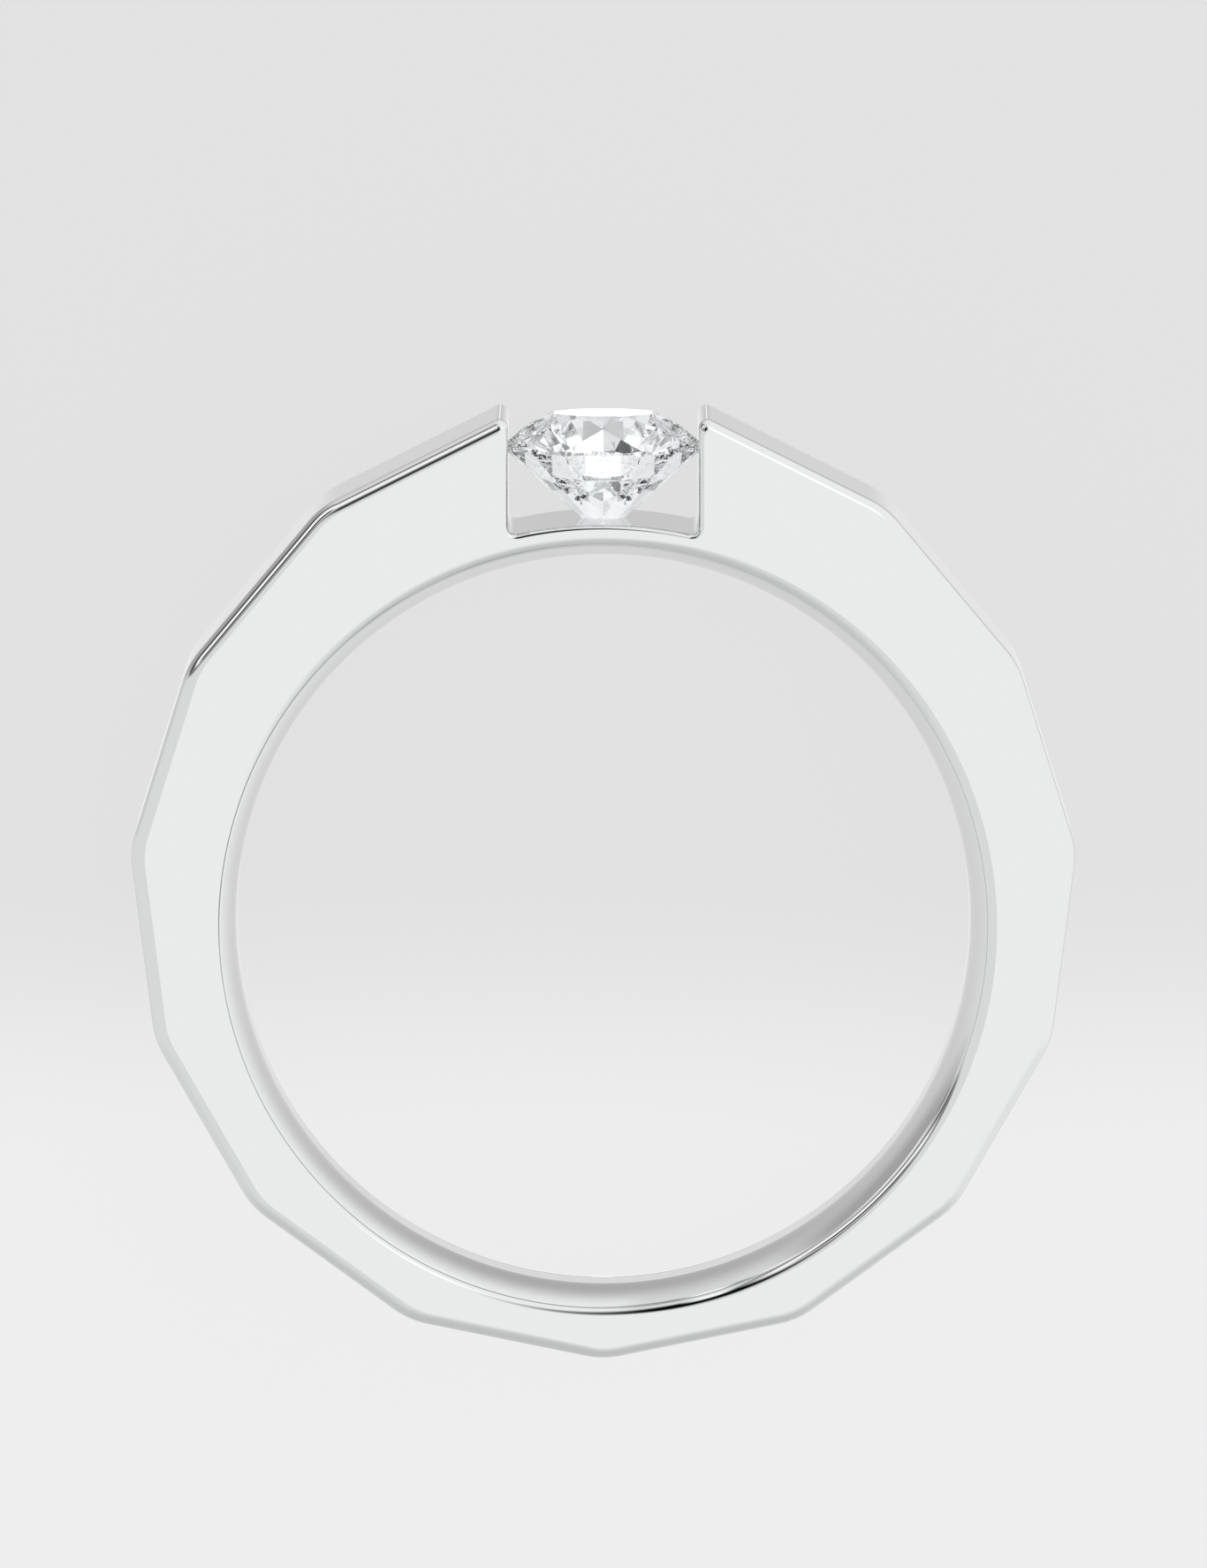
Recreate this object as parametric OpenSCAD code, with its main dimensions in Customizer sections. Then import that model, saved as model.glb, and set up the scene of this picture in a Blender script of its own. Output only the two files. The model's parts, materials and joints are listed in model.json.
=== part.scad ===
// A man's ring: a polished faceted band, open at the top, that grips one round brilliant
// by its girdle between two shoulders. The finger's axis is Z, the stone points along +Y,
// and the origin is the centre of the finger bore at half the band's width.

/* [Finger bore] */
// Diameter of the bore at its narrowest, a size 9 finger
bore_d = 18.95; // [16:0.05:22]
// Length of the straight land in the middle of the bore
land_len = 1.2; // [1.2:0.1:2]
// Radius of the comfort flare from the land to each rim, seen in section
flare_r = 4.5; // [4.3:0.1:8]
// Radius of the round at each rim of the bore, seen in section
rim_r = 0.34; // [0.3:0.02:0.36]
// Depth below the face at which the rim's round meets the flare in a blunt corner
rim_depth = 0.15; // [0.12:0.01:0.16]

/* [Band] */
// Width of the band along the finger
band_w = 5.2; // [5.2:0.1:5.4]
// Radius of the round along the outer edges
edge_r = 0.36; // [0.2:0.02:0.4]
// Radius of the soft corner where two outer facets meet, seen from the side
corner_r = 2.2; // [1:0.1:2.6]

/* [Stone gap] */
// Width of the gap between the two shoulders
gap_w = 4.9; // [4.7:0.05:5]
// Thickness of the bridge left between the bore and the floor of the gap
bridge_t = 0.92; // [0.92:0.01:1.1]
// Radius of the round along the gap's edges
gap_edge_r = 0.15; // [0.1:0.01:0.15]
// Radius of the shoulders' top corners, seen from the side
shoulder_r = 0.22; // [0.18:0.01:0.3]
// Radius in the gap's lower corners, seen from the side
gap_corner_r = 0.2; // [0.15:0.01:0.3]

/* [Stone] */
// Diameter of the stone at its girdle, a round brilliant of about half a carat
stone_d = 5.1; // [5.06:0.01:5.14]
// Height of the middle of the girdle above the floor of the gap
girdle_rise = 1.82; // [1.78:0.01:1.95]
// Thickness of the girdle
girdle_t = 0.14; // [0.12:0.01:0.2]
// Width of the table as a share of the diameter
table_share = 0.54; // [0.5:0.005:0.6]
// Angle of the crown's main facets in degrees
crown_angle = 34.7; // [33:0.1:36]
// Angle of the pavilion's main facets in degrees
pavilion_angle = 41; // [40.5:0.1:41.5]
// Length of the star facets as a share of the way from table to girdle
star_share = 0.52; // [0.45:0.01:0.55]
// Length of the lower half facets as a share of the way from girdle to culet
lower_share = 0.77; // [0.7:0.01:0.85]
// Gap between the stone and the metal that holds it
stone_gap = 0.03; // [0.02:0.01:0.04]

/* [Hidden] */

// Outer facets of one half, from the bottom of the ring to the shoulder.
// ANGLE is the way the facet faces, in degrees from straight down towards the side,
// and WALL is the metal between the bore and the facet along that direction.
ANGLE = 0;
WALL = 1;
FACETS = [
    [11.5, 1.55],
    [36.0, 1.75],
    [60.1, 2.02],
    [82.7, 2.37],
    [107.4, 2.75],
    [130.0, 3.07],
    [153.4, 3.47],
];

// Steps of the rounds in the band's outline and along its edges
CORNER_STEPS = 4;
SHOULDER_STEPS = 6;
FLOOR_STEPS = 4;
EDGE_STEPS = 5;
FLARE_STEPS = 5;
// Radius left at the face's corner on each shoulder, inside the rounds of both edges
FACE_CORNER_R = 0.06;
// How far the cutters run past the faces that they cut
PAST = 1;
// How far the rounds of the edges are drawn past the flat faces, which then cut them off
OVER = 0.005;
ROUND_FN = 180;

bore_r = bore_d / 2;
half_w = band_w / 2;
half_gap = gap_w / 2;
floor_r = bore_r + bridge_t;
last = len(FACETS) - 1;

// A station of the outline is its point on the vertical wall, the point where its edge
// round meets the flat face, and the depth of that round below the face.
OUT = 0;
IN = 1;
DEPTH = 2;

function facing(a) = [sin(a), -cos(a)];
function reach(i) = bore_r + FACETS[i][WALL];
function steps(from, to, n) = [for (k = [0:n]) from + (to - from) * k / n];

// Point where the line facing a1 at distance d1 crosses the line facing a2 at distance d2
function crossing(a1, d1, a2, d2) =
    let (p = facing(a1), q = facing(a2), det = p.x * q.y - p.y * q.x)
    [(d1 * q.y - d2 * p.y) / det, (p.x * d2 - q.x * d1) / det];

// Stations round an outer corner whose arc has its centre at c
function outer_corner(c, r, from, to, n, depth) =
    [for (a = steps(from, to, n)) [c + r * facing(a), c + (r - depth) * facing(a), depth]];

bottom_corner = outer_corner([0, -(reach(0) - corner_r) / cos(FACETS[0][ANGLE])],
    corner_r, 0, FACETS[0][ANGLE], CORNER_STEPS / 2, edge_r);

facet_corners = [for (i = [0:last - 1])
    let (a1 = FACETS[i][ANGLE], a2 = FACETS[i + 1][ANGLE],
        c = crossing(a1, reach(i) - corner_r, a2, reach(i + 1) - corner_r))
    each outer_corner(c, corner_r, a1, a2, CORNER_STEPS, edge_r)];

// Shoulder corner between the last facet and the wall of the gap, which faces 270 degrees.
// The facet's broad round and the wall's fine one meet at the face's own small corner.
shoulder_corner =
    let (a1 = FACETS[last][ANGLE], a2 = 270,
        c = crossing(a1, reach(last) - shoulder_r, a2, -half_gap - shoulder_r),
        face_c = crossing(a1, reach(last) - edge_r - FACE_CORNER_R,
            a2, -half_gap - gap_edge_r - FACE_CORNER_R))
    [for (k = [0:SHOULDER_STEPS])
        let (t = k / SHOULDER_STEPS, n = facing(a1 + (a2 - a1) * t))
        [c + shoulder_r * n, face_c + FACE_CORNER_R * n, edge_r + (gap_edge_r - edge_r) * t]];

// Lower corner of the gap, hollow, between its wall and its floor round the bore's axis
gap_corner_c =
    let (x = half_gap - gap_corner_r) [x, sqrt(pow(floor_r + gap_corner_r, 2) - x * x)];
gap_corner_turn = atan2(gap_corner_c.x, gap_corner_c.y);
gap_corner = [for (a = steps(270, 180 - gap_corner_turn, CORNER_STEPS))
    let (n = facing(a), p = gap_corner_c - gap_corner_r * n) [p, p - gap_edge_r * n, gap_edge_r]];

gap_floor = [for (k = [1:FLOOR_STEPS])
    let (n = facing(180 - gap_corner_turn * (1 - k / FLOOR_STEPS)))
    [floor_r * n, (floor_r - gap_edge_r) * n, gap_edge_r]];

right_half = concat(bottom_corner, facet_corners, shoulder_corner, gap_corner, gap_floor);
left_half = [for (i = [len(right_half) - 2:-1:1]) let (s = right_half[i])
    [[-s[OUT].x, s[OUT].y], [-s[IN].x, s[IN].y], s[DEPTH]]];
outline = concat(right_half, left_half);

// Each flat face is drawn in three parts, because its outline is hollow at the gap: a shoulder
// on each side, from the last facet's end to the foot of the gap's wall, and the rest.
facet_end = len(bottom_corner) + len(facet_corners);
wall_foot = facet_end + len(shoulder_corner);
around = len(outline);
right_shoulder = [for (i = [facet_end:wall_foot]) i];
left_shoulder = [for (i = [around - wall_foot:around - facet_end]) i];
main_face = concat([for (i = [0:facet_end]) i], [for (i = [wall_foot:around - wall_foot]) i],
    [for (i = [around - facet_end:around - 1]) i]);
face_parts = [right_shoulder, left_shoulder, main_face];

// One ring of points at t degrees round an edge: 0 is on the face and 90 on the wall
function edge_ring(t, side) = [for (s = outline)
    let (p = s[OUT] + (s[IN] - s[OUT]) * (1 - sin(t)), z = half_w - s[DEPTH] * (1 - cos(t)))
    [p.x, p.y, side * z]];

// The ring of points past the face, in line with the first step of the edge's round, t degrees
function over_ring(t, side) = [for (s = outline)
    let (p = s[IN] + (s[IN] - s[OUT]) * sin(t) * OVER / (s[DEPTH] * (1 - cos(t))))
    [p.x, p.y, side * (half_w + OVER)]];

// The outline, lofted from past the front face to past the back face
module band_loft() {
    rounds = [for (k = [1:EDGE_STEPS]) 90 * k / EDGE_STEPS];
    rings = concat([over_ring(rounds[0], 1)], [for (t = rounds) edge_ring(t, 1)],
        [for (k = [EDGE_STEPS - 1:-1:0]) edge_ring(rounds[k], -1)], [over_ring(rounds[0], -1)]);
    back = (len(rings) - 1) * around;
    polyhedron(
        points = [for (ring = rings) each ring],
        faces = concat(
            [for (part = face_parts) [for (k = [len(part) - 1:-1:0]) part[k]]],
            [for (j = [0:len(rings) - 2], i = [0:around - 1])
                let (a = j * around + i, b = j * around + (i + 1) % around)
                each [[a, b, b + around], [a, b + around, a + around]]],
            [for (part = face_parts) [for (i = part) back + i]]),
        convexity = 6);
}

// The band without its bore
module band_blank() {
    intersection() {
        band_loft();
        cylinder(h = band_w, r = 2 * reach(last), center = true, $fn = ROUND_FN);
    }
}

// The finger's room: a straight land, a flare to each side of it and a round at each rim
module bore_cutter() {
    flare_turn = asin((half_w - rim_depth - land_len / 2) / flare_r);
    rim_turn = asin(1 - rim_depth / rim_r);
    flare = [for (a = steps(0, flare_turn, FLARE_STEPS))
        [bore_r + flare_r * (1 - cos(a)), land_len / 2 + flare_r * sin(a)]];
    rim_c = flare[FLARE_STEPS] + rim_r * [cos(rim_turn), -sin(rim_turn)];
    rim = [for (k = [1:EDGE_STEPS]) let (a = rim_turn + (90 - rim_turn) * k / EDGE_STEPS)
        rim_c - rim_r * [cos(a), -sin(a)]];
    // The rim's last step runs on past the face by its own length
    inner_rim = [for (k = [0:EDGE_STEPS - 2]) rim[k]];
    beyond = 2 * rim[EDGE_STEPS - 1] - rim[EDGE_STEPS - 2];
    upper = concat(flare, inner_rim, [beyond, [beyond.x, half_w + PAST], [0, half_w + PAST]]);
    lower = [for (k = [len(upper) - 1:-1:0]) [upper[k].x, -upper[k].y]];
    rotate_extrude($fn = ROUND_FN) polygon(concat(upper, lower));
}

// Stone coordinates have +Z out of the table and z = 0 at the middle of the girdle.
// A main facet of the crown and one of the pavilion face each of these directions.
stone_r = stone_d / 2;
half_girdle = girdle_t / 2;
table_r = table_share * stone_r;
crown_h = (stone_r - table_r) * tan(crown_angle);
pavilion_h = stone_r * tan(pavilion_angle);
MAINS = 8;
MAIN_STEP = 360 / MAINS;
FIRST_MAIN = MAIN_STEP / 2;
// The facets are first drawn out to this share of the radius and then turned round
OVERSIZE = 1.15;

function ring_point(r, a, z) = [r * cos(a), r * sin(a), z];

// Height that a plane through p with the normal n has above the point [x, y]
function plane_z(p, n, x, y) = p.z - (n.x * (x - p.x) + n.y * (y - p.y)) / n.z;

// The brilliant: table, stars, main and half facets, as one solid with a round girdle
module brilliant() {
    star_r = table_r * cos(MAIN_STEP / 2)
        + star_share * (stone_r - table_r * cos(MAIN_STEP / 2));
    star_z = half_girdle + (stone_r - star_r * cos(MAIN_STEP / 2)) * tan(crown_angle);
    low_r = stone_r * (1 - lower_share);
    low_z = -half_girdle - (stone_r - low_r * cos(MAIN_STEP / 2)) * tan(pavilion_angle);
    wide_r = stone_r * OVERSIZE;
    half = MAIN_STEP / 2;

    // Normals of the half facets beside the main facet that faces angle 0
    up_k = ring_point(stone_r, 0, half_girdle);
    up_n = cross(ring_point(stone_r, half, half_girdle) - up_k,
        ring_point(star_r, half, star_z) - up_k);
    low_k = ring_point(stone_r, 0, -half_girdle);
    low_n = cross(ring_point(stone_r, half, -half_girdle) - low_k,
        ring_point(low_r, half, low_z) - low_k);
    up_main = plane_z(up_k, up_n, wide_r, 0);
    up_half = plane_z(up_k, up_n, wide_r * cos(half), wide_r * sin(half));
    low_main = plane_z(low_k, low_n, wide_r, 0);
    low_half = plane_z(low_k, low_n, wide_r * cos(half), wide_r * sin(half));

    // Each ring of points has one row here, with these columns. TURN is from the main facet.
    RADIUS = 0;
    HEIGHT = 1;
    TURN = 2;
    rows = [
        [table_r, half_girdle + crown_h, 0],
        [star_r, star_z, half],
        [stone_r, half_girdle, 0],
        [wide_r, up_main, 0],
        [wide_r, up_half, half],
        [wide_r, low_half, half],
        [wide_r, low_main, 0],
        [stone_r, -half_girdle, 0],
        [low_r, low_z, half],
    ];
    TABLE = 0;
    STAR = 1;
    KITE = 2;
    WIDE_UP = 3;
    WIDE_UP_HALF = 4;
    WIDE_LOW_HALF = 5;
    WIDE_LOW = 6;
    LOW_KITE = 7;
    LOW_STAR = 8;
    CULET = len(rows) * MAINS;
    function at(row, k) = row * MAINS + (k + MAINS) % MAINS;

    intersection() {
        polyhedron(
            points = concat(
                [for (row = rows, k = [0:MAINS - 1])
                    ring_point(row[RADIUS], FIRST_MAIN + k * MAIN_STEP + row[TURN], row[HEIGHT])],
                [[0, 0, -half_girdle - pavilion_h]]),
            faces = concat(
                [[for (k = [MAINS - 1:-1:0]) at(TABLE, k)]],
                [for (k = [0:MAINS - 1]) each [
                    [at(TABLE, k), at(TABLE, k + 1), at(STAR, k)],
                    [at(TABLE, k), at(STAR, k), at(KITE, k), at(STAR, k - 1)],
                    [at(STAR, k), at(WIDE_UP_HALF, k), at(WIDE_UP, k), at(KITE, k)],
                    [at(STAR, k), at(KITE, k + 1), at(WIDE_UP, k + 1), at(WIDE_UP_HALF, k)],
                    [at(WIDE_UP, k), at(WIDE_UP_HALF, k), at(WIDE_LOW_HALF, k), at(WIDE_LOW, k)],
                    [at(WIDE_UP_HALF, k), at(WIDE_UP, k + 1), at(WIDE_LOW, k + 1),
                        at(WIDE_LOW_HALF, k)],
                    [at(LOW_STAR, k), at(LOW_KITE, k), at(WIDE_LOW, k), at(WIDE_LOW_HALF, k)],
                    [at(LOW_STAR, k), at(WIDE_LOW_HALF, k), at(WIDE_LOW, k + 1),
                        at(LOW_KITE, k + 1)],
                    [at(LOW_KITE, k), at(LOW_STAR, k), CULET, at(LOW_STAR, k - 1)],
                ]]),
            convexity = 4);
        cylinder(h = stone_d, r = stone_r, center = true, $fn = ROUND_FN);
    }
}

// Room for the stone: a groove for the girdle in each shoulder, a seat for its tip in the bridge
module stone_room() {
    r = stone_r + stone_gap;
    z = half_girdle + stone_gap;
    rotate_extrude($fn = ROUND_FN)
        polygon([[0, -z - r * tan(pavilion_angle)], [r, -z], [r, z],
            [table_r, z + (r - table_r) * tan(crown_angle)],
            [0, z + (r - table_r) * tan(crown_angle)]]);
}

// Puts a shape in stone coordinates into its place between the shoulders
module in_setting() {
    translate([0, floor_r + girdle_rise, 0]) rotate([-90, 0, 0]) children();
}

module ring_band() {
    color("#dfe2e2")
        difference() {
            band_blank();
            bore_cutter();
            in_setting() stone_room();
        }
}

module centre_stone() {
    color("#eef4fa") in_setting() brilliant();
}

ring_band();
centre_stone();
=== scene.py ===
"""A man's ring of polished white gold, lying on its side on a pale table.

The band is open at the top and grips one round brilliant by its girdle. Sizes are in millimetres, in the
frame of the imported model: the finger's axis is Z, the stone points along +Y, and the origin is the centre
of the finger bore at half the band's width.
"""

import json
import logging
import math
from collections.abc import Iterable, Sequence
from dataclasses import dataclass, fields
from enum import Enum

import bpy
import numpy as np
from mathutils import Matrix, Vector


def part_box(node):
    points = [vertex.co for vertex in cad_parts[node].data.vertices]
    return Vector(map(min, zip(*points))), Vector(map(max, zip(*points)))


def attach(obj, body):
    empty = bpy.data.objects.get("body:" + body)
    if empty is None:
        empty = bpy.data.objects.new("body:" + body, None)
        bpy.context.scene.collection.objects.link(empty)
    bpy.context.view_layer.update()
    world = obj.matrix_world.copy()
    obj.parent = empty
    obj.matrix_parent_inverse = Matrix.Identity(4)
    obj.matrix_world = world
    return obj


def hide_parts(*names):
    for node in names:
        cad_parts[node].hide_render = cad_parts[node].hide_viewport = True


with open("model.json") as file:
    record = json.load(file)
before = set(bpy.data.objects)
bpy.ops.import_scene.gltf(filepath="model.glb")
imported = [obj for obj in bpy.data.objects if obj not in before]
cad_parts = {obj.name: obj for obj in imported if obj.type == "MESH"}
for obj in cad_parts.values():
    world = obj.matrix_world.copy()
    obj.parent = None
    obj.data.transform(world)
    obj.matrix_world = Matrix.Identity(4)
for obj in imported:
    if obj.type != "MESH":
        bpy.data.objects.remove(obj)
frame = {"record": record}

Array = np.ndarray
Hex = str

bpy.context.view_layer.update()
METRES = 0.001
# Points nearer than this are one point of the mesh
WELD = 1e-5
# Ways that the gap's floor and its right wall face, in degrees from straight down towards the right
UPWARDS = 180.0
TO_THE_STONE = 270.0

log = logging.getLogger("ring")


class Body(Enum):
    """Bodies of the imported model; the ring has no joint, so it has one."""

    RING = "root"


class Slot(Enum):
    """Material slots of the record."""

    WHITE_GOLD = "white_gold"
    DIAMOND = "diamond"


class Axis(Enum):
    """Axes of the frame, by their place in a point."""

    ACROSS = 0
    ALONG_FINGER = 2


def facing(degrees: Array | Sequence[float] | float) -> Array:
    """Gives directions in the plane of the band's flat side.

    Args:
        degrees: turns from straight down towards the right.

    Returns:
        Unit vectors (sine, minus cosine), with one more axis than the turns have.
    """
    turn = np.radians(np.asarray(degrees, float))
    return np.stack([np.sin(turn), -np.cos(turn)], axis=-1)


def crossing(first: tuple[float, float], second: tuple[float, float]) -> Array:
    """Finds where two straight lines cross.

    Args:
        first: the way one line faces in degrees, and its distance from the bore's axis.
        second: the same for the other line.

    Returns:
        The point whose dot product with each line's direction is that line's distance.
    """
    turns, distances = zip(first, second)
    return np.linalg.solve(facing(turns), np.array(distances))


def steps(start: float, end: float, count: int) -> Array:
    """Gives count + 1 even values from start to end."""
    return np.linspace(start, end, count + 1)


def raised(flat: Array, height: Array | float) -> Array:
    """Joins points in the plane of the flat side to their heights along the finger."""
    return np.concatenate([flat, np.broadcast_to(height, flat.shape[:-1])[..., None]], axis=-1)


@dataclass(frozen=True)
class Sheet:
    """A smooth patch of skin on one grid, with a crease only where it meets another patch.

    Attributes:
        points: the grid's points, of shape (rows, columns, 3).
        normals: the skin's outward direction at each point, or one for each row or for the whole grid.
    """

    points: Array
    normals: Array

    def triangles(self) -> tuple[Array, Array]:
        """Cuts each cell of the grid in two.

        Returns:
            The triangles' corner points and their normals, each of shape (count, 3, 3).
        """

        def cut(grid: Array) -> Array:
            """Takes the cells' corners in two groups of three.

            Args:
                grid: a value at each point of the grid.

            Returns:
                The values at the triangles' corners.
            """
            near, far = grid[:-1], grid[1:]
            lower = np.stack([near[:, :-1], near[:, 1:], far[:, 1:]], axis=-2)
            upper = np.stack([near[:, :-1], far[:, 1:], far[:, :-1]], axis=-2)
            return np.concatenate([lower, upper]).reshape(-1, 3, 3)

        return cut(self.points), cut(np.broadcast_to(self.normals, self.points.shape))


@dataclass(frozen=True)
class Skin:
    """Loose triangles that meet along their edges, with a normal at each corner.

    Attributes:
        points: corner points, of shape (count, 3, 3).
        normals: corner normals, of the same shape.
    """

    points: Array
    normals: Array

    @classmethod
    def of(cls, sheets: Iterable[Sheet]) -> "Skin":
        """Joins the triangles of several sheets."""
        points, normals = zip(*(sheet.triangles() for sheet in sheets))
        return cls(np.concatenate(points), np.concatenate(normals))

    def doubled(self, axis: Axis) -> "Skin":
        """Adds the mirror image across the origin's plane square to an axis.

        Args:
            axis: the axis.

        Returns:
            The skin with its image.
        """
        flip = np.ones(3)
        flip[axis.value] = -1
        return Skin(
            np.concatenate([self.points, self.points * flip]),
            np.concatenate([self.normals, self.normals * flip]),
        )

    def piece(self, name: str) -> bpy.types.Object:
        """Welds the triangles into one closed mesh.

        Corners that fall on the same cell of a fine lattice become one point, triangles that shrink to a
        line are dropped, and each of the others is wound so that its cross product points the way that its
        corners' normals do.

        Args:
            name: name of the new object.

        Returns:
            The object, in metres, with the corner normals as its shading.
        """
        lattice = np.rint(self.points.reshape(-1, 3) / WELD).astype(np.int64)
        _, first, index = np.unique(lattice, axis=0, return_index=True, return_inverse=True)
        index = index.reshape(-1, 3)
        whole = (index != np.roll(index, 1, axis=1)).all(axis=1)
        index, points, normals = index[whole], self.points[whole], self.normals[whole]
        across = np.cross(points[:, 1] - points[:, 0], points[:, 2] - points[:, 0])
        inward = (across * normals.sum(axis=1)).sum(axis=1) < 0
        index[inward] = index[inward][:, ::-1]
        normals[inward] = normals[inward][:, ::-1]
        mesh = bpy.data.meshes.new(name)
        places = self.points.reshape(-1, 3)[first] * METRES
        mesh.from_pydata(places.tolist(), [], index.tolist(), shade_flat=False)
        mesh.normals_split_custom_set(normals.reshape(-1, 3).tolist())
        return placed(mesh)


def placed(mesh: bpy.types.Mesh) -> bpy.types.Object:
    """Puts a mesh into the scene as an object at the origin.

    Args:
        mesh: the mesh.

    Returns:
        The object, with the mesh's name.
    """
    piece = bpy.data.objects.new(mesh.name, mesh)
    bpy.context.scene.collection.objects.link(piece)
    return piece


def level_square(name: str, half: float, cells: int, height: float) -> bpy.types.Object:
    """Makes a level square that faces up.

    Args:
        name: name of the object.
        half: half the length of its sides, in millimetres.
        cells: cells along each side.
        height: how high it lies, in millimetres.

    Returns:
        A square grid whose points are the same even steps along both sides.
    """
    ticks = steps(-half, half, cells)
    flat = np.stack(np.meshgrid(ticks, ticks, indexing="ij"), axis=-1)
    sheet = Sheet(raised(flat, height), np.array([0.0, 0.0, 1.0]))
    return Skin.of([sheet]).piece(name)


@dataclass(frozen=True)
class Stations:
    """A run of stations along the band's outline, seen along the finger.

    Attributes:
        wall: where the outline stands, of shape (count, 2).
        side: where the round of its edge meets the flat side, of the same shape.
        facing: the way that the wall faces, of the same shape.
        depth: how deep the round reaches from the flat side, of shape (count,).
    """

    wall: Array
    side: Array
    facing: Array
    depth: Array

    @classmethod
    def arc(
        cls,
        turns: Array,
        centre: Array,
        radius: float,
        side_centre: Array,
        side_radius: float,
        depth: Array | float,
    ) -> "Stations":
        """Makes a run round two arcs.

        Args:
            turns: the way that each station's wall faces, in degrees.
            centre: centre of the wall's arc.
            radius: radius of the wall's arc, negative round a hollow corner.
            side_centre: centre of the flat side's arc.
            side_radius: radius of the flat side's arc, negative round a hollow corner.
            depth: depth of the edge's round.

        Returns:
            The run, with each point at its centre plus its radius times its direction.
        """
        out = facing(turns)
        return cls(
            centre + radius * out,
            side_centre + side_radius * out,
            out,
            np.broadcast_to(depth, turns.shape).astype(float),
        )

    @classmethod
    def joined(cls, runs: Sequence["Stations"]) -> "Stations":
        """Joins runs end to end."""
        return cls(*(np.concatenate([getattr(run, f.name) for run in runs]) for f in fields(cls)))

    def straight(self, after: "Stations", shares: Array) -> "Stations":
        """Makes the straight run between this run's last station and another's first.

        Args:
            after: the run that follows.
            shares: how far along the straight each station is, from 0 to 1.

        Returns:
            The run, each of whose values is mixed from the two ends by its share.
        """

        def mixed(name: str) -> Array:
            """Mixes one value of the two ends."""
            start, end = getattr(self, name)[-1], getattr(after, name)[0]
            return start + np.multiply.outer(shares, end - start)

        return Stations(*(mixed(f.name) for f in fields(Stations)))


@dataclass(frozen=True)
class Facet:
    """One flat outer facet of the band.

    Attributes:
        turn: the way it faces, in degrees from straight down towards the side.
        metal: thickness of the metal behind it.
    """

    turn: float
    metal: float


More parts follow.
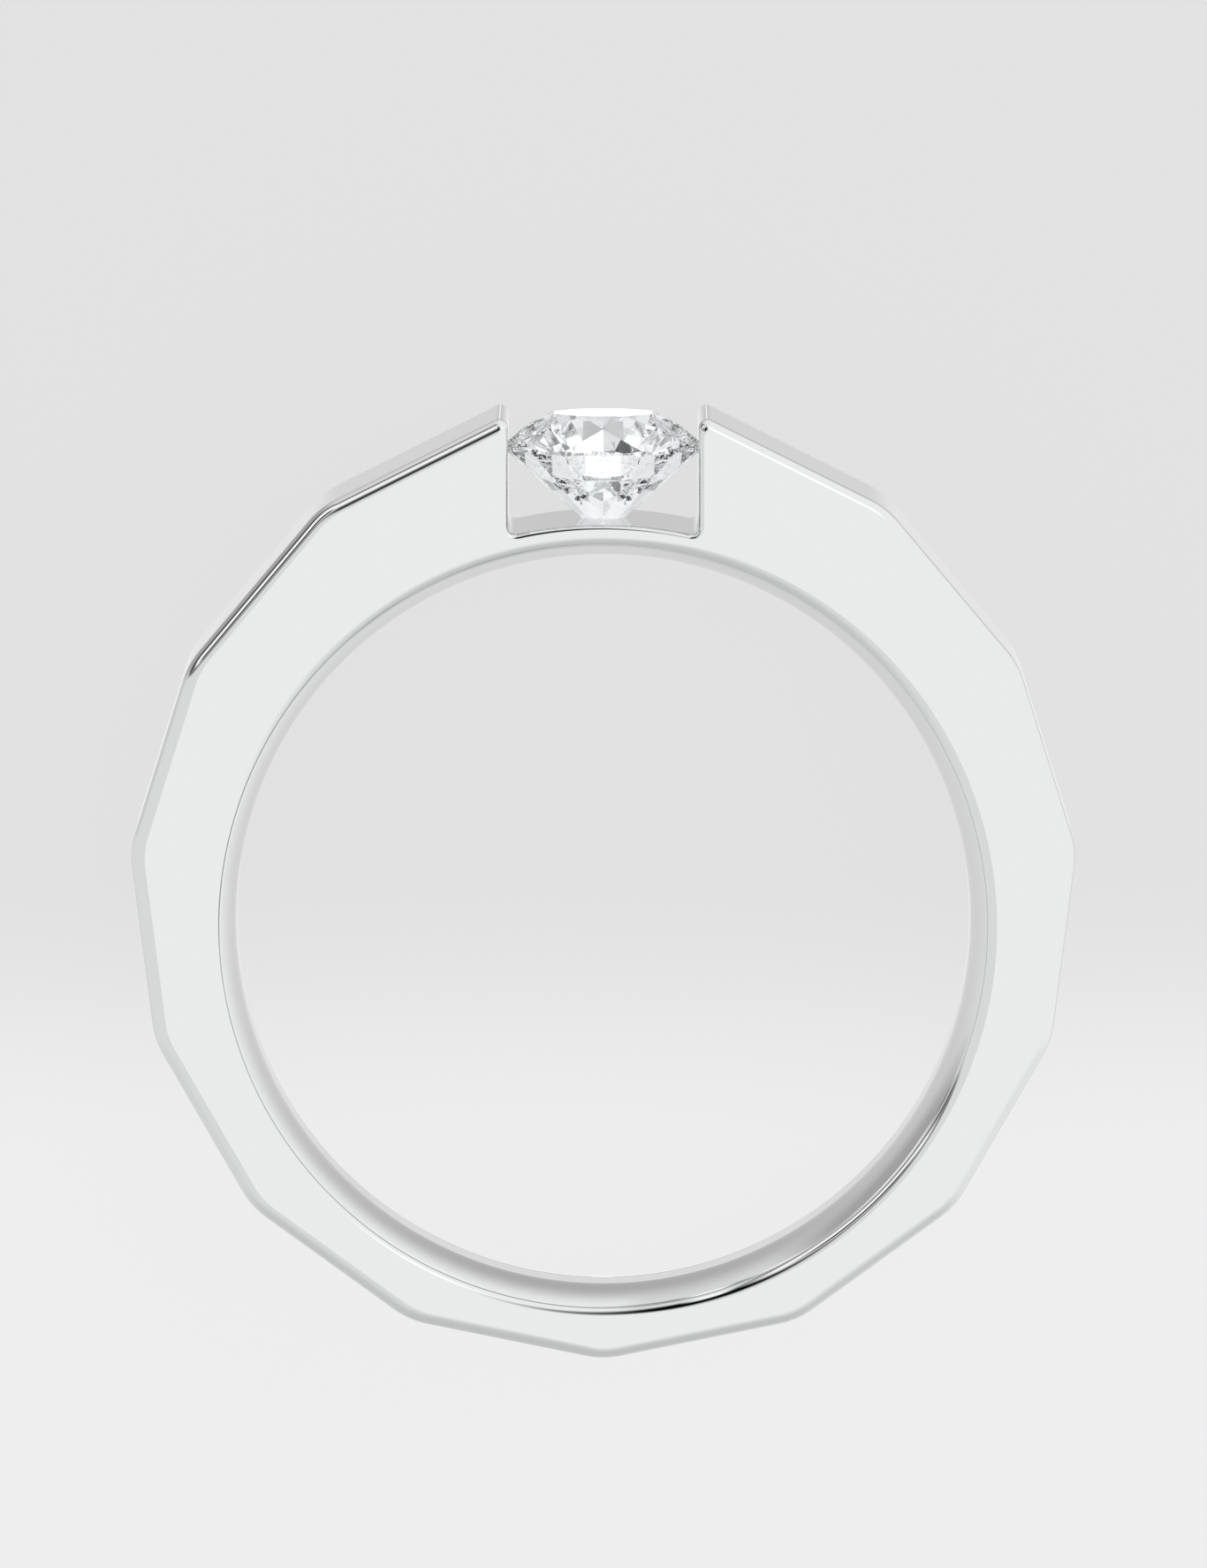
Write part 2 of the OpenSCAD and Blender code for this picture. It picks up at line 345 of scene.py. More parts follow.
@dataclass(frozen=True)
class Stone:
    """The round brilliant: its sizes, its facets and the room that the metal leaves for it.

    In the stone's own coordinates the third axis points out of the table, and the middle of the girdle
    is at zero.

    Attributes:
        radius: radius at the girdle.
        girdle: thickness of the girdle beside the main facets.
        table_share: radius of the table as a share of the stone's.
        crown_degrees: slope of the crown's main facets.
        pavilion_degrees: slope of the pavilion's main facets.
        star_share: length of the stars as a share of the way from table to girdle.
        lower_share: length of the lower half facets as a share of the way from girdle to tip.
        clearance: gap between the stone and the metal.
        mains: main facets of the crown, and of the pavilion.
        girdle_cuts: flats of the girdle to each main facet.
    """

    radius: float = 2.55
    girdle: float = 0.14
    table_share: float = 0.54
    crown_degrees: float = 34.7
    pavilion_degrees: float = 41.0
    star_share: float = 0.52
    lower_share: float = 0.77
    clearance: float = 0.03
    mains: int = 8
    girdle_cuts: int = 12

    @property
    def crown_slope(self) -> float:
        """Rise of the crown's main facets over their run."""
        return math.tan(math.radians(self.crown_degrees))

    @property
    def pavilion_slope(self) -> float:
        """Rise of the pavilion's main facets over their run."""
        return math.tan(math.radians(self.pavilion_degrees))

    @property
    def half_girdle(self) -> float:
        """Height of the girdle's upper edge at its thickest."""
        return self.girdle / 2

    @property
    def room_radius(self) -> float:
        """Radius of the room for the girdle."""
        return self.radius + self.clearance

    @property
    def room_half(self) -> float:
        """Height of the room's straight wall above the middle of the girdle."""
        return self.half_girdle + self.clearance

    def widening(self, height: Array) -> Array:
        """Gives how much the room widens for each step up.

        Args:
            height: heights from the middle of the girdle.

        Returns:
            The inverse of the pavilion's slope below, 0 beside the girdle, and less the inverse of the
            crown's slope above.
        """
        below = 1 / self.pavilion_slope
        above = -1 / self.crown_slope
        return np.where(height < -self.room_half, below, np.where(height > self.room_half, above, 0.0))

    def room(self, height: Array) -> Array:
        """Gives the radius of the room at a height.

        Args:
            height: heights from the middle of the girdle.

        Returns:
            The girdle's room, less the widening times what the height is past its straight wall.
        """
        past = np.maximum(np.abs(height) - self.room_half, 0.0)
        slope = np.abs(self.widening(height))
        return np.maximum(self.room_radius - past * slope, 0.0)

    def facet_polygons(self) -> tuple[Array, list[list[int]]]:
        """Works out the brilliant's points and facets.

        The half facets are planes through the girdle's edge at a main facet, the same edge halfway to the
        next, and the tip of the star between them. Their height over the round girdle gives its scallops.

        Returns:
            The points in the stone's coordinates, and each facet as a list of point numbers.
        """
        half = math.pi / self.mains
        table = self.table_share * self.radius
        inner = table * math.cos(half)
        star = inner + self.star_share * (self.radius - inner)
        low = self.radius * (1 - self.lower_share)
        table_height = self.half_girdle + (self.radius - table) * self.crown_slope
        star_height = self.half_girdle + (self.radius - star * math.cos(half)) * self.crown_slope
        low_height = -self.half_girdle - (self.radius - low * math.cos(half)) * self.pavilion_slope
        culet = -self.half_girdle - self.radius * self.pavilion_slope

        main_turns = half + 2 * half * np.arange(self.mains)
        cuts = self.girdle_cuts * self.mains
        girdle_turns = half + 2 * math.pi * np.arange(cuts) / cuts
        from_main = np.abs((girdle_turns + half - main_turns[0]) % (2 * half) - half)

        def ring(radius: float, turns: Array, height: Array | float) -> Array:
            """Points at a radius and height, one for each turn about the stone's axis."""
            across = radius * np.stack([np.cos(turns), np.sin(turns)], axis=-1)
            return raised(across, height)

        def scallop(edge_height: float, tip: float, tip_height: float) -> Array:
            """Works out the half facets' height over the girdle's round, by their plane's equation.

            Args:
                edge_height: height of the girdle's edge beside a main facet.
                tip: radius of the half facets' tip.
                tip_height: height of that tip.

            Returns:
                The height at each point of the girdle.
            """
            corner, middle = ring(self.radius, np.array([0.0, half]), edge_height)
            normal = np.cross(middle - corner, ring(tip, np.array([half]), tip_height)[0] - corner)
            round_points = ring(self.radius, from_main, 0.0)
            return corner[2] - (round_points - corner)[:, :2] @ normal[:2] / normal[2]

        upper_edge = scallop(self.half_girdle, star, star_height)
        lower_edge = scallop(-self.half_girdle, low, low_height)
        rings = {
            "table": ring(table, main_turns, table_height),
            "star": ring(star, main_turns + half, star_height),
            "upper": ring(self.radius, girdle_turns, upper_edge),
            "lower": ring(self.radius, girdle_turns, lower_edge),
            "low": ring(low, main_turns + half, low_height),
            "culet": ring(0.0, np.zeros(1), culet),
        }
        starts = dict(zip(rings, np.cumsum([0] + [len(r) for r in rings.values()])))

        def at(name: str, number: int) -> int:
            """Point number of one point of a ring, counted round."""
            return int(starts[name]) + number % len(rings[name])

        def edge(name: str, start: int, end: int) -> list[int]:
            """Point numbers of a stretch of the girdle's edge."""
            return [at(name, k) for k in range(start, end + 1)]

        facets = [[at("table", k) for k in range(self.mains)]]
        for k in range(self.mains):
            start = k * self.girdle_cuts
            middle = start + self.girdle_cuts // 2
            end = start + self.girdle_cuts
            facets += [
                [at("table", k), at("table", k + 1), at("star", k)],
                [at("table", k), at("star", k), at("upper", start), at("star", k - 1)],
                [at("star", k)] + edge("upper", start, middle),
                [at("star", k)] + edge("upper", middle, end),
                [at("low", k)] + edge("lower", start, middle),
                [at("low", k)] + edge("lower", middle, end),
                [at("lower", start), at("low", k), at("culet", 0), at("low", k - 1)],
            ]
        facets += [
            [at("upper", k), at("upper", k + 1), at("lower", k + 1), at("lower", k)] for k in range(cuts)
        ]
        return np.concatenate(list(rings.values())), facets

    def piece(self, seat_height: float) -> bpy.types.Object:
        """Builds the stone in its place between the shoulders.

        Args:
            seat_height: height of the girdle's middle above the bore's axis.

        Returns:
            The stone, with flat facets that all face outwards.
        """
        points, facets = self.facet_polygons()
        table_up = np.stack([points[:, 0], points[:, 2] + seat_height, -points[:, 1]], axis=-1)
        middle = np.array([0.0, seat_height, 0.0])
        outward = [facet if self.faces_out(table_up, facet, middle) else facet[::-1] for facet in facets]
        mesh = bpy.data.meshes.new("round_brilliant")
        mesh.from_pydata((table_up * METRES).tolist(), [], outward)
        return placed(mesh)

    @staticmethod
    def faces_out(points: Array, facet: list[int], middle: Array) -> bool:
        """Tells whether a facet's corners run anticlockwise as seen from outside."""
        a, b, c = points[facet[0]], points[facet[1]], points[facet[2]]
        return float(np.cross(b - a, c - a) @ (a - middle)) > 0


@dataclass(frozen=True)
class Band:
    """The metal ring: flat facets outside, a comfort-fit bore inside and a gap that grips the stone.

    The whole skin is worked out for a quarter, right of the stone's axis and above the middle of the
    width, and mirrored twice.

    Attributes:
        bore_radius: radius of the bore's land.
        half_width: half the band's width along the finger.
        land: width of the straight land in the middle of the bore.
        stone: the stone that it grips.
        facets: the outer facets of one half, from the bottom up.
        flare_radius: radius of the bore's section from the land to the rim.
        rim_radius: radius of the round at the bore's rim.
        rim_depth: how deep the rim's round reaches from the flat side.
        turned_line_width: width of the fine line cut where the flare meets the rim.
        turned_line_depth: depth of that line.
        edge_radius: radius of the round between the flat side and an outer facet.
        corner_radius: radius of the soft corner between two outer facets.
        half_gap: half the width of the gap.
        bridge: thickness of the metal under the gap.
        gap_edge_radius: radius of the round along the gap's edges.
        shoulder_radius: radius of the shoulder's top corner.
        side_corner_radius: radius of the flat side's corner there.
        gap_corner_radius: radius of the hollow corner at the foot of the gap.
        girdle_rise: height of the girdle's middle above the gap's floor.
        facet_steps: steps of the mesh along a facet.
        corner_steps: steps round a corner.
        gap_steps: steps along the gap's corner and floor.
        edge_steps: steps across an edge's round.
        groove_steps: steps across the girdle's groove.
        waist_part: part of a run that the waist's cut takes in at each end, as one in so many.
    """

    bore_radius: float
    half_width: float
    land: float
    stone: Stone
    facets: tuple[Facet, ...] = (
        Facet(11.5, 1.55),
        Facet(36.0, 1.75),
        Facet(60.1, 2.02),
        Facet(82.7, 2.37),
        Facet(107.4, 2.75),
        Facet(130.0, 3.07),
        Facet(153.4, 3.47),
    )
    flare_radius: float = 4.5
    rim_radius: float = 0.34
    rim_depth: float = 0.15
    turned_line_width: float = 0.055
    turned_line_depth: float = 0.017
    edge_radius: float = 0.36
    corner_radius: float = 2.2
    half_gap: float = 2.45
    bridge: float = 0.92
    gap_edge_radius: float = 0.15
    shoulder_radius: float = 0.22
    side_corner_radius: float = 0.06
    gap_corner_radius: float = 0.2
    girdle_rise: float = 1.82
    facet_steps: int = 16
    corner_steps: int = 12
    gap_steps: int = 10
    edge_steps: int = 14
    groove_steps: int = 8
    waist_part: int = 4

    @property
    def floor_radius(self) -> float:
        """Radius of the gap's floor about the bore's axis."""
        return self.bore_radius + self.bridge

    @property
    def girdle_height(self) -> float:
        """Height of the girdle's middle above the bore's axis."""
        return self.floor_radius + self.girdle_rise

    @property
    def seat_tip(self) -> float:
        """Height of the tip of the stone's room above the bore's axis."""
        return self.girdle_height - self.stone.room_half - self.stone.room_radius * self.stone.pavilion_slope

    def line(self, facet: Facet, inset: float) -> tuple[float, float]:
        """The line that lies some way inside a facet, as the way it faces and its distance."""
        return facet.turn, self.bore_radius + facet.metal - inset

    def outer_corners(self) -> list[Stations]:
        """Makes the soft corners of the outline, from the bottom of the ring to the last facet.

        Returns:
            A run for each corner, round the point that lies the corner's radius inside both facets.
        """
        first = self.facets[0]
        reach = self.line(first, self.corner_radius)[1]
        bottom = np.array([0.0, -reach / math.cos(math.radians(first.turn))])
        pairs = list(zip(self.facets, self.facets[1:]))
        centres = [bottom] + [
            crossing(self.line(a, self.corner_radius), self.line(b, self.corner_radius)) for a, b in pairs
        ]
        turns = [steps(0, first.turn, self.corner_steps // 2)] + [
            steps(a.turn, b.turn, self.corner_steps) for a, b in pairs
        ]
        inside = self.corner_radius - self.edge_radius
        return [
            Stations.arc(turn, centre, self.corner_radius, centre, inside, self.edge_radius)
            for turn, centre in zip(turns, centres)
        ]

    def shoulder(self) -> Stations:
        """Makes the top corner of the shoulder, where the broad round turns into the gap's fine one.

        Returns:
            The run from the last facet to the gap's wall.
        """
        top = self.facets[-1]
        centre = crossing(
            self.line(top, self.shoulder_radius), (TO_THE_STONE, -self.half_gap - self.shoulder_radius)
        )
        side_centre = crossing(
            self.line(top, self.edge_radius + self.side_corner_radius),
            (TO_THE_STONE, -self.half_gap - self.gap_edge_radius - self.side_corner_radius),
        )
        shares = steps(0, 1, self.corner_steps)
        return Stations.arc(
            top.turn + (TO_THE_STONE - top.turn) * shares,
            centre,
            self.shoulder_radius,
            side_centre,
            self.side_corner_radius,
            self.edge_radius + (self.gap_edge_radius - self.edge_radius) * shares,
        )

    def gap_corner(self) -> Stations:
        """Makes the hollow corner between the gap's wall and its floor.

        Returns:
            The run, from the wall's foot to the start of the floor.
        """
        across = self.half_gap - self.gap_corner_radius
        up = math.sqrt((self.floor_radius + self.gap_corner_radius) ** 2 - across**2)
        centre = np.array([across, up])
        foot = UPWARDS - math.degrees(math.atan2(across, up))
        hollow = self.gap_corner_radius + self.gap_edge_radius
        turns = steps(TO_THE_STONE, foot, self.gap_steps)
        return Stations.arc(turns, centre, -self.gap_corner_radius, centre, -hollow, self.gap_edge_radius)

    def seat_edge(self) -> float:
        """Finds how far from the middle the hollow for the stone's tip meets the gap's floor.

        Returns:
            The distance x at which the tip's height plus x times the pavilion's slope is the height of
            the floor's circle, by the formula for a quadratic equation.
        """
        slope = self.stone.pavilion_slope
        tip = self.seat_tip
        root = (slope * tip) ** 2 - (1 + slope**2) * (tip**2 - self.floor_radius**2)
        return (math.sqrt(root) - slope * tip) / (1 + slope**2)

    def seat_rows(self) -> Array:
        """Distances from the middle of the rows across the hollow for the tip, closer near its edge."""
        return self.seat_edge() * np.cos(np.radians(steps(0, 90, self.gap_steps)))

    def gap_floor(self, corner: Stations) -> Stations:
        """Makes the gap's floor, from its corner to the middle.

        Args:
            corner: the run of the corner before it.

        Returns:
            Stations on the floor's circle, among them the rows of the hollow for the stone's tip.
        """
        foot = corner.wall[-1, 0]
        plain = steps(foot, self.seat_edge(), self.gap_steps)[1:-1]
        across = np.concatenate([plain, self.seat_rows()])
        turns = UPWARDS - np.degrees(np.arcsin(across / self.floor_radius))
        inside = self.floor_radius - self.gap_edge_radius
        centre = np.zeros(2)
        return Stations.arc(turns, centre, self.floor_radius, centre, inside, self.gap_edge_radius)

    def groove_rows(self) -> list[Array]:
        """Heights of the rows across the girdle's groove, from its top down.

        Returns:
            Heights from the girdle's middle over the crown's slope, the straight wall and the
            pavilion's slope. The rows are closer near the groove's pointed ends.
        """
        stone = self.stone
        metal = stone.room_radius - self.half_gap
        top = metal * stone.crown_slope
        foot = metal * stone.pavilion_slope
        eased = steps(0, 1, self.groove_steps) ** 2
        return [
            stone.room_half + top * (1 - eased),
            steps(stone.room_half, -stone.room_half, self.groove_steps // 2),
            -stone.room_half - foot * (1 - eased[::-1]),
        ]

    def gap_wall(self, above: Stations, below: Stations) -> Stations:
        """Makes the gap's upright wall, with a station at each row of the girdle's groove.

        Args:
            above: the shoulder's run.
            below: the run of the corner at the gap's foot.

        Returns:
            The run between them.
        """
        rows = np.unique(np.concatenate(self.groove_rows()))[::-1] + self.girdle_height
        start, end = above.wall[-1, 1], below.wall[0, 1]
        return above.straight(below, (rows - start) / (end - start))

    def outline(self) -> tuple[Stations, Array]:
        """Joins the right half of the outline.

        The flat side is drawn out from the bore to its waist. The waist is the outline itself, except
        beside the gap, where it cuts the shoulder off along a straight line from the last facet to just
        round the foot of the gap's wall, so that it is seen from the bore's axis without a fold.

        Returns:
            The stations from the bottom of the ring to the middle of the gap's floor, and the waist.
        """
        corners = self.outer_corners()
        shoulder = self.shoulder()
        gap_corner = self.gap_corner()
        even = steps(0, 1, self.facet_steps)[1:-1]
        runs = []
        for corner, after in zip(corners, corners[1:] + [shoulder]):
            runs += [corner, corner.straight(after, even)]
        cut = sum(len(run.wall) for run in runs) - self.facet_steps // self.waist_part
        runs += [shoulder, self.gap_wall(shoulder, gap_corner)]
        foot = sum(len(run.wall) for run in runs) + self.gap_steps // self.waist_part
        whole = Stations.joined(runs + [gap_corner, self.gap_floor(gap_corner)])
        waist = whole.side.copy()
        shares = steps(0, 1, foot - cut)
        waist[cut : foot + 1] = waist[cut] + np.multiply.outer(shares, waist[foot] - waist[cut])
        return whole, waist

    def bore_sheets(self, waist: Array) -> list[Sheet]:
        """Makes the finger's side of the quarter: half the land, the flare, a turned line and the rim.

        The section is turned about the bore's axis, and a row stands behind each station. On both arcs a
        point is its centre plus its radius times (minus cosine, sine) of the turn, which is also the
        normal, as distance from the axis and height. The rim's round ends at its depth below the flat
        side, where it meets the flare in a blunt corner, and the line is cut into the end of the flare.

        Args:
            waist: where each station's row goes, which gives its direction from the axis.

        Returns:
            One sheet each for the land, the flare, the turned line's two walls and the rim's round.
        """
        rise = self.half_width - self.rim_depth - self.land / 2
        flare_turn = math.asin(rise / self.flare_radius)
        rim_turn = math.asin(1 - self.rim_depth / self.rim_radius)
        line_turn = flare_turn - self.turned_line_width / self.flare_radius
        flare_centre = np.array([self.bore_radius + self.flare_radius, self.land / 2])
        out = waist / np.linalg.norm(waist, axis=1, keepdims=True)

        def way(angle: Array | float) -> Array:
            """Direction out of the metal at a turn of the section."""
            return np.stack([-np.cos(angle), np.sin(angle)], axis=-1)

        def turned(section: Array) -> Array:
            """Turns a section, given as distances and heights, to each station's direction."""
            flat = out[:, None, :] * section[None, :, :1]
            return raised(flat, section[None, :, 1])

        def arc(centre: Array, radius: float, start: float, end: float) -> Sheet:
            """One round of the section."""
            normal = way(steps(start, end, self.corner_steps))
            return Sheet(turned(centre + radius * normal), turned(normal))

        def straight(start: Array, end: Array) -> Sheet:
            """Makes one straight stretch of the section, with the metal on its right.

            Args:
                start: its first point, as distance and height.
                end: its last point.

            Returns:
                The sheet.
            """
            along = (end - start) / np.linalg.norm(end - start)
            normal = np.array([-along[1], along[0]])
            return Sheet(turned(np.stack([start, end])), turned(np.stack([normal, normal])))

        flare_end = flare_centre + self.flare_radius * way(line_turn)
        joint = flare_centre + self.flare_radius * way(flare_turn)
        line_foot = (flare_end + joint) / 2 - self.turned_line_depth * way(flare_turn)
        return [
            straight(np.array([self.bore_radius, 0.0]), np.array([self.bore_radius, self.land / 2])),
            arc(flare_centre, self.flare_radius, 0.0, line_turn),
            straight(flare_end, line_foot),
            straight(line_foot, joint),
            arc(joint - self.rim_radius * way(rim_turn), self.rim_radius, rim_turn, math.pi / 2),
        ]

    def side_sheets(self, rim: Array, waist: Array, side: Array) -> list[Sheet]:
        """Makes the flat side: its main part out to the waist, and the shoulder past it.

        Args:
            rim: the last point of the bore's rim in each row.
            waist: the waist at each station.
            side: where each station's edge round begins.

        Returns:
            Two sheets at half the band's width, facing along the finger.
        """
        up = np.array([0.0, 0.0, 1.0])
        waist_points = raised(waist, self.half_width)
        side_points = raised(side, self.half_width)
        return [
            Sheet(np.stack([rim, waist_points], axis=1), up),
            Sheet(np.stack([waist_points, side_points], axis=1), up),
        ]

    def edge_sheet(self, outline: Stations) -> Sheet:
        """Makes the round between the flat side and the outline's wall.

        At a turn t a point is the side's point plus sine t of the way to the wall, and lies the depth
        times (1 minus cosine t) below the flat side. The normal is sine t of the way that the wall faces
        and cosine t of the finger's direction.

        Args:
            outline: the outline's stations.

        Returns:
            The sheet, from the flat side to the wall.
        """
        turns = np.radians(steps(0, 90, self.edge_steps))
        sine, cosine = np.sin(turns), np.cos(turns)
        way = (outline.wall - outline.side)[:, None, :]
        flat = outline.side[:, None, :] + way * sine[None, :, None]
        height = self.half_width - np.multiply.outer(outline.depth, 1 - cosine)
        normal_flat = outline.facing[:, None, :] * sine[None, :, None]
        return Sheet(raised(flat, height), raised(normal_flat, cosine))

    def cut_half(self, points: Array) -> Array:
        """Gives how far up and down from the middle the stone's room opens the wall at each point.

        Args:
            points: points of the outline.

        Returns:
            The other side of a triangle whose long side is the room's radius at that height and whose
            short one is the distance from the stone's axis, or 0 where the room doesn't reach.
        """
        room = self.stone.room(points[:, 1] - self.girdle_height)
        return np.sqrt(np.maximum(room**2 - points[:, 0] ** 2, 0.0))

    def wall_sheet(self, outline: Stations) -> Sheet:
        """Makes the wall from the edge's round down to the middle, or to the stone's room.

        Args:
            outline: the outline's stations.

        Returns:
            The sheet.
        """
        heights = [self.half_width - outline.depth, self.cut_half(outline.wall)]
        points = np.stack([raised(outline.wall, height) for height in heights], axis=1)
        return Sheet(points, raised(outline.facing, 0.0)[:, None, :])

    def room_normals(self, points: Array, widening: Array | float) -> Array:
        """Directions out of the metal on the wall of the stone's room.

        Args:
            points: points on the room's wall.
            widening: how much the room widens for each step up.

        Returns:
            Unit vectors towards the stone's axis, tipped up by the widening. At the very tip they stand
            as if the point were a hair's breadth out along the diagonal.
        """
        across = points[..., [0, 2]]
        across = np.where(np.abs(across).max(axis=-1, keepdims=True) < WELD, WELD, across)
        away = across / np.linalg.norm(across, axis=-1, keepdims=True)
        up = np.broadcast_to(widening, away.shape[:-1])
        normal = np.stack([-away[..., 0], up, -away[..., 1]], axis=-1)
        return normal / np.linalg.norm(normal, axis=-1, keepdims=True)

    def groove_sheets(self) -> list[Sheet]:
        """Makes the groove in the gap's wall that holds the girdle.

        In each row the height along the finger runs from the groove's edge to the middle, and the
        distance from the middle is the square root of the room's radius squared less that height squared.

        Returns:
            One sheet each for the crown's slope, the straight wall and the pavilion's slope.
        """
        sheets = []
        for rows in self.groove_rows():
            edge = np.stack([np.full_like(rows, self.half_gap), rows + self.girdle_height], axis=-1)
            along = np.multiply.outer(self.cut_half(edge), steps(1, 0, self.groove_steps))
            across = np.sqrt(self.stone.room(rows)[:, None] ** 2 - along**2)
            up = np.broadcast_to(edge[:, 1:], along.shape)
            points = np.stack([across, up, along], axis=-1)
            widening = float(self.stone.widening(rows.mean()))
            sheets.append(Sheet(points, self.room_normals(points, widening)))
        return sheets

    def seat_sheet(self) -> Sheet:
        """Makes the small hollow in the gap's floor that takes the stone's tip.

        In each row the height along the finger runs from the hollow's edge to the middle, and a point
        stands above the tip by its distance from the stone's axis times the pavilion's slope.

        Returns:
            The sheet.
        """
        slope = self.stone.pavilion_slope
        rows = self.seat_rows()
        edge = np.stack([rows, np.sqrt(self.floor_radius**2 - rows**2)], axis=-1)
        along = np.multiply.outer(self.cut_half(edge), steps(1, 0, self.groove_steps))
        across = np.broadcast_to(rows[:, None], along.shape)
        points = np.stack([across, self.seat_tip + np.hypot(across, along) * slope, along], axis=-1)
        return Sheet(points, self.room_normals(points, 1 / slope))

    def piece(self) -> bpy.types.Object:
        """Builds the band as one closed piece.

        Returns:
            The band's object.
        """
        outline, waist = self.outline()
        bore = self.bore_sheets(waist)
        sheets = [
            *bore,
            *self.side_sheets(bore[-1].points[:, -1], waist, outline.side),
            self.edge_sheet(outline),
            self.wall_sheet(outline),
            *self.groove_sheets(),
            self.seat_sheet(),
        ]
        quarter = Skin.of(sheets)
        return quarter.doubled(Axis.ALONG_FINGER).doubled(Axis.ACROSS).piece("polished_band")


def linear(colour: Hex, alpha: float = 1.0) -> tuple[float, float, float, float]:
    """Turns an sRGB colour into Blender's linear values.

    Args:
        colour: the colour in hex, such as "#e0e0e0".
        alpha: how solid it is.

    Returns:
        Its red, green and blue, and the alpha.
    """
    values = [int(colour[k : k + 2], 16) / 255 for k in (1, 3, 5)]
    red, green, blue = (v / 12.92 if v <= 0.04045 else ((v + 0.055) / 1.055) ** 2.4 for v in values)
    return red, green, blue, alpha


def add_node(
    tree: bpy.types.NodeTree, kind: str, inputs: dict[str | int, object] | None = None, **settings: object
) -> bpy.types.Node:
    """Adds one shader node with its settings and links.

    Args:
        tree: the tree it goes into.
        kind: the node's type, without its ShaderNode prefix.
        inputs: for each socket's name or number, a value or the socket that feeds it.
        settings: the node's own properties.

    Returns:
        The node.
    """
    node = tree.nodes.new("ShaderNode" + kind)
    for name, value in settings.items():
        setattr(node, name, value)
    for name, value in (inputs or {}).items():
        if isinstance(value, bpy.types.NodeSocket):
            tree.links.new(value, node.inputs[name])
        else:
            node.inputs[name].default_value = value
    return node


def result_of(
    tree: bpy.types.NodeTree, kind: str, inputs: dict[str | int, object], **settings: object
) -> bpy.types.NodeSocket:
    """Adds one shader node of any kind and gives the first of its outputs that is in use.

    Args:
        tree: the tree it goes into.
        kind: the node's type, without its ShaderNode prefix.
        inputs: for each socket's name or number, a value or the socket that feeds it.
        settings: the node's own properties.

    Returns:
        The output's socket.
    """
    outputs = add_node(tree, kind, inputs, **settings).outputs
    return next(socket for socket in outputs if not socket.is_unavailable)


def new_material(name: str) -> tuple[bpy.types.Material, bpy.types.NodeTree]:
    """Makes an empty node material.

    Args:
        name: name of the material.

    Returns:
        The material and its node tree.
    """
    material = bpy.data.materials.new(name)
    material.use_nodes = True
    material.node_tree.nodes.clear()
    return material, material.node_tree


@dataclass(frozen=True)
class PolishedWhiteGold:
    """Rhodium-plated white gold, cast, ground flat and buffed to a mirror.

    The eye sees the studio in it, nearly white and only a little blurred, and a shade whiter where a wall
    is seen edge on. The buffing leaves a haze that comes and goes over about a millimetre.

    Attributes:
        plating: its tone from in front.
        grazing: its tint edge on.
        clear_roughness: roughness where the buffing is clearest.
        hazy_roughness: roughness in the haze.
        haze_size: size of the haze's patches, in millimetres.
        haze_detail: how ragged the patches are.
        haze_span: levels of the noise at which the haze sets in and is whole.
    """

    plating: Hex = "#dedfde"
    grazing: Hex = "#eeeeee"
    clear_roughness: float = 0.004
    hazy_roughness: float = 0.02
    haze_size: float = 1.1
    haze_detail: float = 3.0
    haze_span: tuple[float, float] = (0.35, 0.65)

    def material(self) -> bpy.types.Material:
        """Builds the metal.

        Returns:
            The material.
        """
        material, tree = new_material("polished_white_gold")
        haze = result_of(
            tree,
            "TexNoise",
            {
                "Vector": add_node(tree, "TexCoord").outputs["Object"],
                "Scale": 1 / (self.haze_size * METRES),
                "Detail": self.haze_detail,
            },
        )
        roughness = result_of(
            tree,
            "MapRange",
            {
                "Value": haze,
                "From Min": self.haze_span[0],
                "From Max": self.haze_span[1],
                "To Min": self.clear_roughness,
                "To Max": self.hazy_roughness,
            },
        )
        metal = result_of(
            tree,
            "BsdfPrincipled",
            {
                "Base Color": linear(self.plating),
                "Metallic": 1.0,
                "Roughness": roughness,
                "Specular Tint": linear(self.grazing),
            },
        )
        add_node(tree, "OutputMaterial", {"Surface": metal})
        return material


@dataclass(frozen=True)
class CutDiamond:
    """Colourless diamond, cut in flat facets and polished without any haze.

    Light that comes in through the crown is thrown about inside and out again, so the facets show as
    small patches of white, grey and black.

    Attributes:
        body: its own tone.
        bending: its refractive index.
    """

    body: Hex = "#fbfdff"
    bending: float = 2.417

    def material(self) -> bpy.types.Material:
        """Builds the stone's glassy finish.

        Returns:
            The material.
        """
        material, tree = new_material("cut_diamond")
        stone = result_of(
            tree,
            "BsdfPrincipled",
            {
                "Base Color": linear(self.body),
                "Roughness": 0.0,
                "IOR": self.bending,
                "Transmission Weight": 1.0,
            },
        )
        add_node(tree, "OutputMaterial", {"Surface": stone})
        return material


